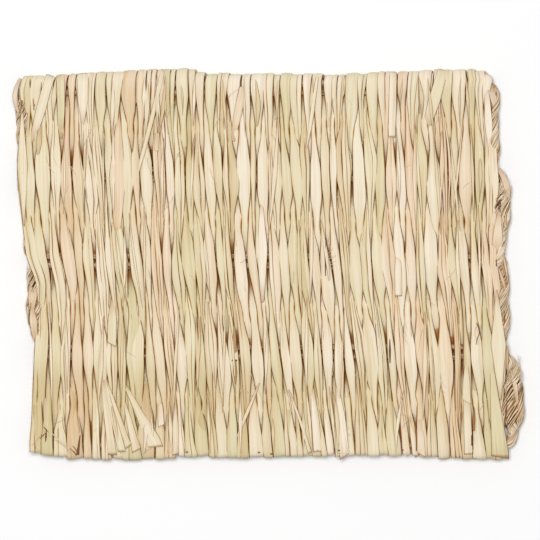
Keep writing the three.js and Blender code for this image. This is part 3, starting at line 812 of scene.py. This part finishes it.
# Flat strands and dark hollows of the rope's turns, and notches, straws and shades of the stalks.
# The dark hollows, slits, notches and shades are strips of painted shade laid where shade falls.
# Columns: name, start x and y, end x and y, bow, width at the start, middle and end, height on
# the rope (0 on the weave), how dark it is, and tone and tint if they aren't SLIT_COLOURS.
SLIT_COLOURS = (0.3, 0.4)
DETAILS = [
    ("right_pale", 124.8, 102.3, 129, 85.9, 0.3, 2.8, 4, 2.3, 8.3, 0, 0.85, 0.4),
    ("right_dark_line", 122.7, 102, 126.7, 85.9, 0.2, 0.3, 0.7, 0.5, 8, 0.8),
    ("upper_flat", 130.2, 54.3, 135.8, 37.9, 1.4, 2.3, 3.7, 2.3, 9, 0, 0.8, 0.35),
    ("upper_slit", 130.4, 53.2, 131, 46.4, 0, 0.3, 1, 0.5, 8.8, 0.8),
    ("middle_slit_1", 129.6, 45.8, 129.9, 31.1, 0, 0.3, 1, 0.5, 9, 0.85),
    ("middle_slit_2", 131, 42.4, 130.7, 30, 0, 0.3, 0.8, 0.3, 9.1, 0.75),
    ("inner_flat", 131, 32.8, 129.3, 5.1, -0.6, 0.8, 5.1, 7.9, 9, 0, 0.75, 0.25),
    ("knot_slit_1", 127.1, 2.3, 127.3, -9.6, 0, 0.3, 1, 0.6, 9, 0.8),
    ("knot_slit_2", 128.8, 3.4, 128.8, -6.2, 0, 0.3, 0.8, 0.5, 9.1, 0.7),
    ("knot_strand_1", 129.9, 5.7, 133.8, -6.7, 0.3, 1.1, 1.5, 0.6, 9.1, 0.08, 0.6, 0.25),
    ("knot_strand_2", 132.1, 7.4, 135.3, -10.1, 0.3, 1.1, 1.5, 0.6, 9, 0.05, 0.7, 0.3),
    ("knot_strand_3", 129, 0.1, 134.7, -17.5, 0.3, 1.1, 1.9, 0.6, 9.1, 0.05, 0.65, 0.25),
    ("side_stalk", 128.8, -14.1, 131, -76.2, 0, 0.8, 8.8, 1.1, 9.4, 0, 0.62, 0.6),
    ("edge_notch", 133.4, -25.9, 133.2, -36.1, 0, 0.5, 1.1, 0.6, 8.9, 0.6),
    ("yellow_blade", 134.7, -45.7, 135, -59.3, 0, 1.1, 1.8, 0.8, 9.3, 0, 0.4, 0.65),
    ("turn_hollow_1", 134.4, -57, 134.1, -67.2, 0, 0.3, 1.2, 0.5, 9.5, 0.85),
    ("turn_hollow_2", 133.6, -69.4, 132.7, -87.5, 0, 0.3, 1.1, 0.5, 9.6, 0.85),
    ("turn_hollow_3", 134.7, -75.1, 133.6, -88.7, 0, 0.3, 1, 0.3, 9.8, 0.7),
    ("turn_slit_1", 134.7, -90.9, 141.2, -82.4, 0, 0.3, 0.8, 0.3, 10.3, 0.85),
    ("turn_slit_2", 134.1, -87, 138.9, -79.6, 0, 0.3, 0.7, 0.3, 10.4, 0.8),
    ("turn_smooth", 136.4, -58.7, 140.3, -78.5, 0.8, 0.8, 2.8, 1.7, 10.2, 0, 0.8, 0.35),
    ("loop_blade", -139.9, 105.4, -141.3, 86.5, -2.5, 1.7, 2.8, 1.7, 9, 0, 0.97, 0.4),
    ("loop_slit_1", -141.3, 100.1, -141, 91, -0.5, 0.3, 0.8, 0.3, 9, 0.75, 0.3, 0.2),
    ("loop_slit_2", -140, 101.8, -139.9, 89.9, -0.3, 0.3, 0.8, 0.3, 9.1, 0.6, 0.3, 0.1),
    ("loop_slit_3", -138.9, 101.2, -138.8, 91, -0.2, 0.3, 0.7, 0.3, 9.1, 0.75, 0.3, 0.2),
    ("loop_slit_4", -141.3, 85.9, -137.9, 91.6, 0, 0.3, 0.7, 0.3, 9, 0.8),
    ("loop_slit_5", -141.3, 82.5, -137.6, 88.8, 0, 0.3, 0.7, 0.3, 9, 0.8),
    ("loop_slit_6", -140.7, 79.7, -137.6, 85.4, 0, 0.3, 0.7, 0.3, 9, 0.7),
    ("left_cover", -139, 89.9, -138.6, 22, 0, 0.8, 6, 0.8, 9.1, 0, 0.65, 0.6),
    ("left_dark_line", -134.9, 105.7, -134.9, 100.1, 0, 0.3, 0.8, 0.3, 0, 0.7, 0.3, 0.3),
    ("olive_1", -133.4, 102.3, -132.8, 87.6, 0, 0.5, 1.1, 0.6, 0, 0.1, 0.05, 0.7),
    ("olive_2", -131.7, 103.4, -132, 89.9, 0, 0.5, 1.2, 0.6, 0, 0.2, 0, 0.8),
    ("olive_3", -130.3, 104, -131.1, 93.3, 0, 0.5, 1, 0.6, 0, 0.1, 0.1, 0.7),
    ("left_smooth", -132.8, -9, -134.3, -27.6, 0, 4, 5.1, 2.3, 9, 0, 0.75, 0.25),
    ("left_lower", -134.5, -21.4, -132.3, -42.3, 0, 1.7, 4.5, 2.8, 8.9, 0, 0.8, 0.35),
    ("left_slit_1", -135.9, -6.7, -133.1, -1.6, 0, 0.3, 0.6, 0.3, 9, 0.8),
    ("left_slit_2", -134.8, -9.6, -132, -4.5, 0, 0.3, 0.6, 0.3, 9, 0.8),
    ("left_slit_3", -133.4, -12.4, -131.1, -7.9, 0, 0.3, 0.6, 0.3, 9, 0.8),
    ("left_slit_4", -132.6, -14.1, -135.7, -29.3, 0, 0.3, 0.6, 0.3, 9.35, 0.7),
    ("corner_stub", -126.3, -75.1, -126.2, -89.2, 0, 1.6, 2.3, 2.3, 0, 0, 1, 0.47),
    ("corner_slit_1", -126.9, -91.3, -124, -94.6, 0, 0.3, 0.8, 0.3, 0, 0.6),
    ("corner_straw", -127.5, -92, -123, -97.4, 0, 0.6, 0.8, 0.6, 0, 0, 0.9, 0.5),
    ("corner_slit_2", -129.3, -98.1, -126.3, -94.9, 0, 0.3, 0.7, 0.3, 0, 0.5),
    ("corner_wedge", -125.8, -93.7, -126.1, -100, 0, 0.5, 1.1, 0.3, 0, 0.75),
    ("corner_fan_1", -125.8, -97.1, -129.4, -105.6, 0, 0.5, 1.4, 1.7, 0, 0.06, 0.6, 0.3),
    ("corner_fan_2", -125.5, -97.1, -126.3, -106.2, 0, 0.5, 1.4, 1.9, 0, 0.1, 0.55, 0.35),
    ("corner_fan_3", -125.2, -97.7, -123.2, -106.2, 0, 0.5, 1.5, 1.9, 0, 0.04, 0.7, 0.35),
    ("hair_hole", 32.4, 15.9, 32.4, -6.2, 0, 0.3, 1, 0.3, 0, 0.8),
    ("gold_notch", -19.6, -35, -19.6, -49.7, 0, 0.8, 2.4, 2.5, 0, 0.3, 0.1, 0.3),
    ("rope_bit_1", -20.8, -51.9, -19.1, -49.4, 0, 0.7, 0.9, 0.7, 0, 0.1, 0.7, 0.4),
    ("rope_bit_2", -19.8, -52.5, -18.1, -50, 0, 0.7, 0.9, 0.7, 0, 0.1, 0.7, 0.4),
    ("dark_band", -21, -53.9, -17.9, -54, 0, 0.8, 1.5, 0.8, 0, 0.8),
    ("red_below", -19.3, -54.2, -18.9, -67.2, 0, 1.9, 2.3, 0.6, 0, 0.35, 0.2, 0.15),
    ("gold_blade", -13.1, -54.2, -12.8, -67.7, 0, 1.1, 4.5, 1.1, 0, 0.1, 0, 0.5),
    ("right_notch", 68.6, -41.8, 68.6, -55.3, 0, 0.3, 1.2, 0.5, 0, 0.75),
    ("curl_upper", 117.6, -32.7, 119.2, -38.9, 0.7, 0.3, 0.5, 0.3, 0, 0.5),
    ("curl_lower", 119.2, -38.9, 117.7, -45.1, -0.6, 0.3, 0.5, 0.3, 0, 0.5),
    ("corner_long_straw", -125.9, -92.4, -109, -107.8, 0.2, 0.5, 0.8, 0.5, 0, 0, 0.98, 0.5),
    ("curl_slit", -106.8, -96, -108, -107.2, 0, 0.4, 1.1, 1.7, 0, 0.75),
    ("curl_line_1", -112.5, -103.6, -108.6, -107.7, 0.5, 0.3, 0.6, 0.4, 0, 0.6),
    ("curl_line_2", -111, -102.2, -108.4, -106, 0.5, 0.3, 0.6, 0.4, 0, 0.5),
    ("curl_shade", 81.2, -84, 83.2, -105, 0.9, 0.3, 1.1, 0.8, 0, 0.6),
    ("low_shade", 115.6, -80.5, 115.4, -93.5, 0, 0.4, 1.5, 1.1, 0, 0.45),
    ("low_hollow", 115.4, -96, 115.2, -102, 0, 0.6, 1.2, 0.8, 0, 0.85),
]
# The openings of tube-shaped stalks at the cut edge, dark with painted shade inside them: start
# x, y, end x and width in the middle.
OPENINGS = [
    (-46.7, -105.7, -45.2, 0.9), (-6.6, -105.9, -5.1, 0.9), (1.3, -106.7, 2.8, 0.9),
    (26.8, -104.6, 28.2, 1.0), (38.6, -104.8, 40.1, 1.0), (74.8, -104.6, 76.2, 0.9),
]
RANDOM_SLIVERS = 84
LOOSE_STATIONS = 30
LOOSE_THICKNESS = 0.35
TUCK_DEPTH = 2.0
TUCK_LENGTH = 13
SLIT_WIDTH = 1.3  # details narrower than this hug the rope's skin


def top_of_weave(x, y):
    """The height of the stalks' tops, and their arch from 0 at a crossing to 1 over a row: a
    cosine over each row, a quarter round over the fold, and a drop at the cut ends.
    """
    arch = np.abs(np.cos(np.pi * (y - FIRST_ROW_Y) / ROW_SPACING))
    fold_left, fold_right = LEFT_COURSE[-1, 1], RIGHT_COURSE[-1, 1]
    fold_y = read_table(FOLDED_EDGE, (x - fold_left) / (fold_right - fold_left))
    fold_part = np.clip((y - FIRST_ROW_Y) / (fold_y - FIRST_ROW_Y), 0, 1)
    arch = np.where(y > FIRST_ROW_Y, np.sqrt(1 - fold_part**2), arch)
    drop = END_DROP * past_last_row(y) ** 2
    return MIDDLE_Z + WEAVE_HEIGHT * arch**1.9 + BLADE_TOP - drop, arch


def top_of_rope(x, y):
    """The height of the rope's skin over points of the floor: the highest of the balls that fill
    the rope, each as wide as the rope and a little flattened. It is 0 beside the rope.
    """
    away = (x[..., None] - rope_at[:, 0]) ** 2 + (y[..., None] - rope_at[:, 1]) ** 2
    room = (1.1 * rope_radius[:, 0]) ** 2 - away
    return np.where(room > 0, rope_at[:, 2] + 0.92 * np.sqrt(np.maximum(room, 0)), 0).max(axis=-1)


def sliver_rows(dice, number):
    """Random slivers in the form of the table: each lies over one row and leans a little."""
    row = dice.integers(0, ROWS, number)
    x = dice.uniform(-124, 122, number)
    middle = FIRST_ROW_Y - ROW_SPACING * row
    up = dice.uniform(16, 36, number)
    down = dice.uniform(16, 36, number)
    lean = dice.normal(0.02, 0.06, number)
    start = np.minimum(middle + up, 107)
    end = np.maximum(middle - down, -106.5)
    width = dice.uniform(0.9, 3.0, number)
    return np.column_stack([
        x - lean * (start - middle), start, x + lean * (middle - end), end,
        dice.normal(0, 0.5, number), 0.15 * width, width, 0.12 * width,
        np.where(row == 0, 0.3, 1), np.where(row == ROWS - 1, 0.2, 1),
        dice.uniform(0.15, 0.95, number), dice.normal(0.5, 0.15, number), np.zeros(number),
    ])


# Details join the strips in the same form, with their height on the rope and their darkness of
# painted shade as the last two columns. The pale ones are tucked in at both ends.
dice = np.random.default_rng(73)
plain = np.vstack([[row[1:] for row in LOOSE_STRIPS], sliver_rows(dice, RANDOM_SLIVERS)])
plain = np.column_stack([plain, np.zeros((len(plain), 2))])
details = np.array(
    [(*row[1:], *SLIT_COLOURS)[:12] for row in DETAILS]
    + [(x, y, end_x, y, 0, 0.3, width, 0.3, 0, 0.7, 0.3, 0.3) for x, y, end_x, width in OPENINGS])
tucked_in = np.where(details[:, 9:10] < 0.3, 0.9, 0.1) * np.ones(2)
details = np.column_stack([
    details[:, :8], tucked_in, details[:, 10:], np.zeros(len(details)), details[:, 8:10]])
loose = np.vstack([plain, details])
(start_x, start_y, end_x, end_y, bow, width_start, width_middle, width_end, depth_start,
 depth_end, loose_tone, loose_tint, cut, on_rope, dark) = loose.T[:, :, None]

share = np.linspace(0, 1, LOOSE_STATIONS)[None, :]
length = np.hypot(end_x - start_x, end_y - start_y)
loose_gone = share * length
loose_x = start_x + share * (end_x - start_x) + bow * (4 * share * (1 - share))
loose_x = loose_x + bends(dice, loose_gone, 30, 0.25)
loose_y = start_y + share * (end_y - start_y)
# A strip spans the dips between the rows, and follows them more if it is wide. On the rope's
# turns, the narrow details hug its skin, and the others lie at their own height.
surface, arch = top_of_weave(loose_x, loose_y)
stiff = np.maximum(surface, MIDDLE_Z + WEAVE_HEIGHT * (1 - 0.45 * (1 - arch)) + BLADE_TOP)
stiff = np.where(loose_y > FIRST_ROW_Y, surface, stiff)
wide = smoothstep(1.5, 4.5, width_middle)
tucked = depth_start * (1 - smoothstep(0, TUCK_LENGTH, loose_gone))
tucked = tucked + depth_end * (1 - smoothstep(0, TUCK_LENGTH, (1 - share) * length))
loose_z = surface + (1 - 0.6 * wide) * (stiff - surface) - TUCK_DEPTH * tucked + 0.35
on_skin = np.maximum(top_of_rope(loose_x, loose_y) + 0.05, surface - 2)
rope_top = np.where(width_middle < SLIT_WIDTH, np.minimum(on_skin, on_rope + 0.4), on_rope)
loose_z = np.where(on_rope > 0, rope_top - TUCK_DEPTH * tucked + 0.2, loose_z)
half = 0.5 * (width_middle + (width_start - width_middle) * (1 - np.minimum(2 * share, 1))
              + (width_end - width_middle) * np.maximum(2 * share - 1, 0))
flat = np.ones_like(half)
loose_points, _ = swept_strips(
    np.stack([loose_x, loose_y, loose_z], axis=-1), half, LOOSE_THICKNESS * flat, 0.1 * half,
    bends(dice, loose_gone, 30, 0.08), 0.05 * wide * flat,
    dice.choice([-0.35, 0.35], (len(loose), 1)) * flat, level=True)
loose_tone = loose_tone + waves(dice, loose_gone, (95, 41), (0.04, 0.03))
cut_shade = cut * smoothstep(0.97, 1, share) * 0.35
loose_points = slant_ends(loose_points, loose_gone, dice.normal(0, 0.3, (1, len(loose), 1)))
number = np.arange(len(loose))
# The strips' painted shade: a quarter of how far they are tucked in, a darker cut end, and the
# darkness of the details.
loose_piece = strip_object("loose_strips", [rows_of((
    loose_points, *grain_map(half, loose_gone, 33 * number, 270 * number), loose_tone, loose_tint,
    edge_brown_and_shade(dice, loose_gone, half, 0.24), (0.25 * tucked + cut_shade + dark)[..., None],
), slice(None))], grass)
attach(loose_piece, "root")


# The fine fibres: hairs that have frayed off the stalks' edges, cut ends and the rope.
# Start x and y, end x and y, bow to the side, and height over the weave in the middle.
FIBRES = [
    (33, 6.3, 36.4, 9.7, 0.4, 0.8), (33, 3.4, 38.1, 5.7, 0.5, 0.8), (33, 1.7, 38.1, 2.3, 0.3, 0.8),
    (33.6, 0.6, 37.5, -0.5, -0.2, 0.8), (33.6, -0.5, 36.4, -2.8, -0.3, 0.8),
    (72.5, -83, 81, -88.7, -1, 1), (-133.7, -101.6, -126.9, -93.2, 0.4, 0.4),
    (-126.9, -93.2, -122.4, -97.1, 0.3, 0.4), (-120.7, -98.8, -109.4, -108.4, -0.8, 0.7),
    (-121.5, 62.2, -118, 55, 0.9, 0.5), (-52, 63, -49.5, 57, -0.8, 0.6),
    (-50.2, 64.5, -52.8, 56.5, 0.7, 0.5), (33, 92, 36, 70, 0.6, 0.5), (36.5, 94, 32, 73, -0.4, 0.5),
    (118.2, -33, 119.5, -45, 2.2, 0.8), (119.5, -34, 118.6, -43, -1.6, 0.7),
    (-10.5, -60, -2, -78, 0.6, 0.4), (96, -62, 101, -70, 0.5, 0.6),
]
RANDOM_FIBRES = 70
ROPE_FIBRES = 200
FIBRE_STATIONS = 14
FIBRE_RADIUS = 0.13

dice = np.random.default_rng(5)
fibre_x = dice.uniform(-126, 126, RANDOM_FIBRES)
fibre_y = dice.uniform(-104, 96, RANDOM_FIBRES)
heading = dice.normal(0, 0.45, RANDOM_FIBRES) + np.pi * dice.integers(0, 2, RANDOM_FIBRES)
reach = dice.uniform(3, 13, RANDOM_FIBRES)
fibres = np.vstack([FIBRES, np.column_stack([
    fibre_x, fibre_y, fibre_x + reach * np.sin(heading), fibre_y + reach * np.cos(heading),
    dice.normal(0, 0.8, RANDOM_FIBRES), dice.uniform(0.2, 0.8, RANDOM_FIBRES)])])
share = np.linspace(0, 1, FIBRE_STATIONS)[None, :]
hump = 4 * share * (1 - share)
delta = fibres[:, 2:4] - fibres[:, 0:2]
across_way = unit(np.column_stack([delta[:, 1], -delta[:, 0]]))
ground = fibres[:, None, 0:2] + share[..., None] * delta[:, None]
ground = ground + (fibres[:, 4:5] * hump)[..., None] * across_way[:, None]
height = top_of_weave(ground[..., 0], ground[..., 1])[0]
height = np.maximum(height, height.mean(axis=1, keepdims=True)) + 0.3 + fibres[:, 5:6] * hump
weave_fibres = np.concatenate([ground, height[..., None]], axis=-1)

# Rope hairs start on the rope's skin in its turns and stand off it along its strands.
in_turn = np.flatnonzero(rope_radius[:, 0] > 2.8)
at = dice.choice(in_turn[in_turn < len(rope_at) - 25], ROPE_FIBRES)
skin = dice.uniform(-0.3, 1.35, ROPE_FIBRES) * np.pi
steps = share[..., None]
gone = dice.uniform(4, 11, (ROPE_FIBRES, 1, 1)) * steps
stand = 1.04 + dice.uniform(-0.02, 0.26, (ROPE_FIBRES, 1, 1)) * steps**1.5
winding = skin[:, None, None] + gone / (1.75 * rope_radius[at][:, None])
rope_fibres = (
    rope_at[at][:, None] + gone * rope_along[at][:, None]
    + rope_radius[at][:, None] * stand
    * (np.cos(winding) * rope_across[at][:, None] + np.sin(winding) * rope_over[at][:, None])
)
rope_fibres[..., 2] = np.maximum(rope_fibres[..., 2], 0.4)
fibre_path = np.concatenate([weave_fibres, rope_fibres])
fibre_count = len(fibre_path)
# A hair has four sides and thins towards its end.
thin = FIBRE_RADIUS * (1 - 0.6 * share**3) * np.ones((fibre_count, 1))
ring = np.arange(4) * np.pi / 2
fibre_along = unit(np.gradient(fibre_path, axis=1))
fibre_side = unit(np.cross(fibre_along, [0.0, 0.0, 1.0]) + [1e-6, 0, 0])
fibre_up = np.cross(fibre_side, fibre_along)
fibre_points = (
    fibre_path[:, :, None] + thin[..., None, None]
    * (np.cos(ring)[:, None] * fibre_side[:, :, None] - np.sin(ring)[:, None] * fibre_up[:, :, None])
)
fibre_piece = strip_object("fine_fibres", [(
    fibre_points, (0 * thin[..., None] + ring, share[..., None] * 9 + 0 * thin[..., None]),
    {"tone": dice.uniform(0.3, 1.0, (fibre_count, 1, 1)), "tint": 0.45, "edge": -1.0, "buried": 0.0},
)], grass)
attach(fibre_piece, "root")


# The floor is a plain white sheet. A white surround and a large soft lamp up to the left light it.
# Sizes and places of the floor, lamp and camera are in metres.
FLOOR_HALF = 4
LAMP_SIZE = 0.9
LAMP_PLACE = (-0.15, 0.22, 2.2)
CAMERA_PLACE = (0.0008, -0.0028, 3.01)
corners = [(x * FLOOR_HALF, y * FLOOR_HALF, 0) for x, y in ((-1, -1), (1, -1), (1, 1), (-1, 1))]
floor_mesh = bpy.data.meshes.new("floor")
floor_mesh.from_pydata(corners, [], [(0, 1, 2, 3)])
paper = bpy.data.materials.new("white_paper")
paper.use_nodes = True
paper_shader = paper.node_tree.nodes["Principled BSDF"]
paper_shader.inputs["Base Color"].default_value = linear("#f6f6f6")
paper_shader.inputs["Roughness"].default_value = 0.9
floor_mesh.materials.append(paper)
floor = new_object("floor", floor_mesh)

world = bpy.data.worlds.new("studio")
world.use_nodes = True
surround = world.node_tree.nodes["Background"]
surround.inputs["Color"].default_value = (1, 1, 1, 1)
surround.inputs["Strength"].default_value = 0.36
bpy.context.scene.world = world
lamp_data = bpy.data.lights.new("soft_lamp", "AREA")
lamp_data.shape = "DISK"
lamp_data.size = LAMP_SIZE
lamp_data.energy = 37
lamp = new_object("soft_lamp", lamp_data)
lamp.location = LAMP_PLACE
lamp.rotation_euler = (np.radians(-5.7), np.radians(-3.9), 0)

# The camera looks straight down through a long lens.
camera_data = bpy.data.cameras.new("camera")
camera_data.lens = 354
camera_data.clip_end = 20
camera = new_object("camera", camera_data)
camera.location = CAMERA_PLACE
bpy.context.scene.camera = camera
bpy.context.scene.view_settings.view_transform = "Standard"
